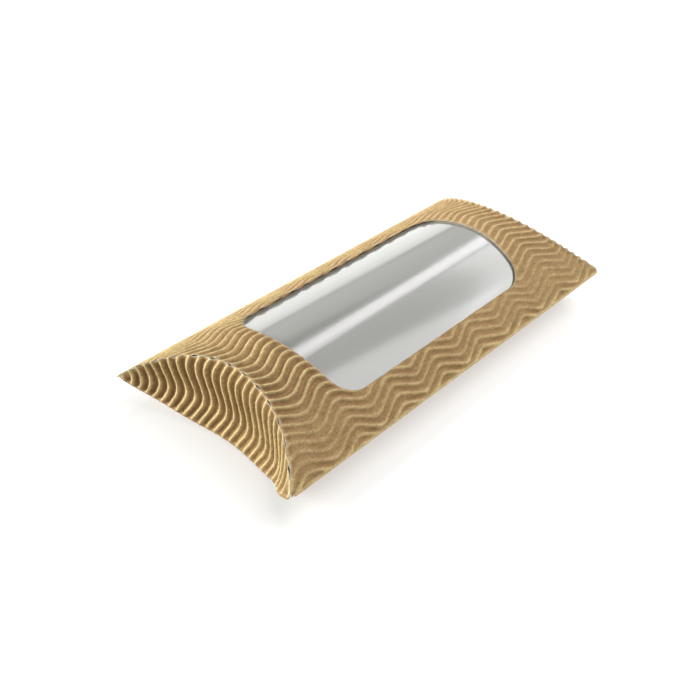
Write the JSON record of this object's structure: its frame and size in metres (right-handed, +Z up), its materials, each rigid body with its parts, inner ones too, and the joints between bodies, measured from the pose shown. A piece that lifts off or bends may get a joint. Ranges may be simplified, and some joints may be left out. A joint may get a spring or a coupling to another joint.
{
  "type": "windowed pillow carton",
  "caption": "Flat pillow-shaped food carton of wave-fluted board with arched panels, curved creases, a clear window in its top and fold-in flaps that close both ends.",
  "frame": {"origin": "under the middle of the carton, on the plane its belly rests on", "axes": "+X along the carton towards its far end, +Y across it towards the side with the glued seam, +Z up through the window"},
  "size_m": [0.1991, 0.0894, 0.0323],
  "materials": {
    "fluting_paper": "matt unbleached kraft, formed into wavy flutes",
    "liner_paper": "smooth unbleached kraft",
    "folded_board": "kraft board crushed by its crease",
    "clear_film": "clear glossy film",
    "dried_glue": "dried white glue"
  },
  "bodies": {
    "carton": {"top_panel_fluting": "fluting_paper", "top_panel_liner": "liner_paper", "bottom_panel_fluting": "fluting_paper", "bottom_panel_liner": "liner_paper", "window_film": "clear_film", "window_glue": "dried_glue", "front_side_fold": "folded_board", "back_side_fold": "folded_board", "seam_glue": "dried_glue", "glue_tab_fluting": "fluting_paper", "glue_tab_liner": "liner_paper"},
    "near_outer_flap": {"near_outer_flap_fluting": "fluting_paper", "near_outer_flap_liner": "liner_paper"},
    "near_inner_flap": {"near_inner_flap_fluting": "fluting_paper", "near_inner_flap_liner": "liner_paper"},
    "far_outer_flap": {"far_outer_flap_fluting": "fluting_paper", "far_outer_flap_liner": "liner_paper"},
    "far_inner_flap": {"far_inner_flap_fluting": "fluting_paper", "far_inner_flap_liner": "liner_paper"}
  },
  "joints": [
    {"name": "near_outer_crease", "type": "hinge", "parent": "carton", "child": "near_outer_flap", "pos_m": [-0.0823, 0, 0.0323], "axis": [0, 1, 0], "range_deg": [0, 100]},
    {"name": "near_inner_crease", "type": "hinge", "parent": "carton", "child": "near_inner_flap", "pos_m": [-0.08438, 0, 0], "axis": [0, -1, 0], "range_deg": [0, 45]},
    {"name": "far_outer_crease", "type": "hinge", "parent": "carton", "child": "far_outer_flap", "pos_m": [0.0823, 0, 0.0323], "axis": [0, -1, 0], "range_deg": [0, 100]},
    {"name": "far_inner_crease", "type": "hinge", "parent": "carton", "child": "far_inner_flap", "pos_m": [0.08438, 0, 0], "axis": [0, 1, 0], "range_deg": [0, 45]}
  ],
  "couplings": [
    {"joint": "near_inner_crease", "follows": "near_outer_crease", "ratio": 0.45},
    {"joint": "far_inner_crease", "follows": "far_outer_crease", "ratio": 0.45}
  ]
}
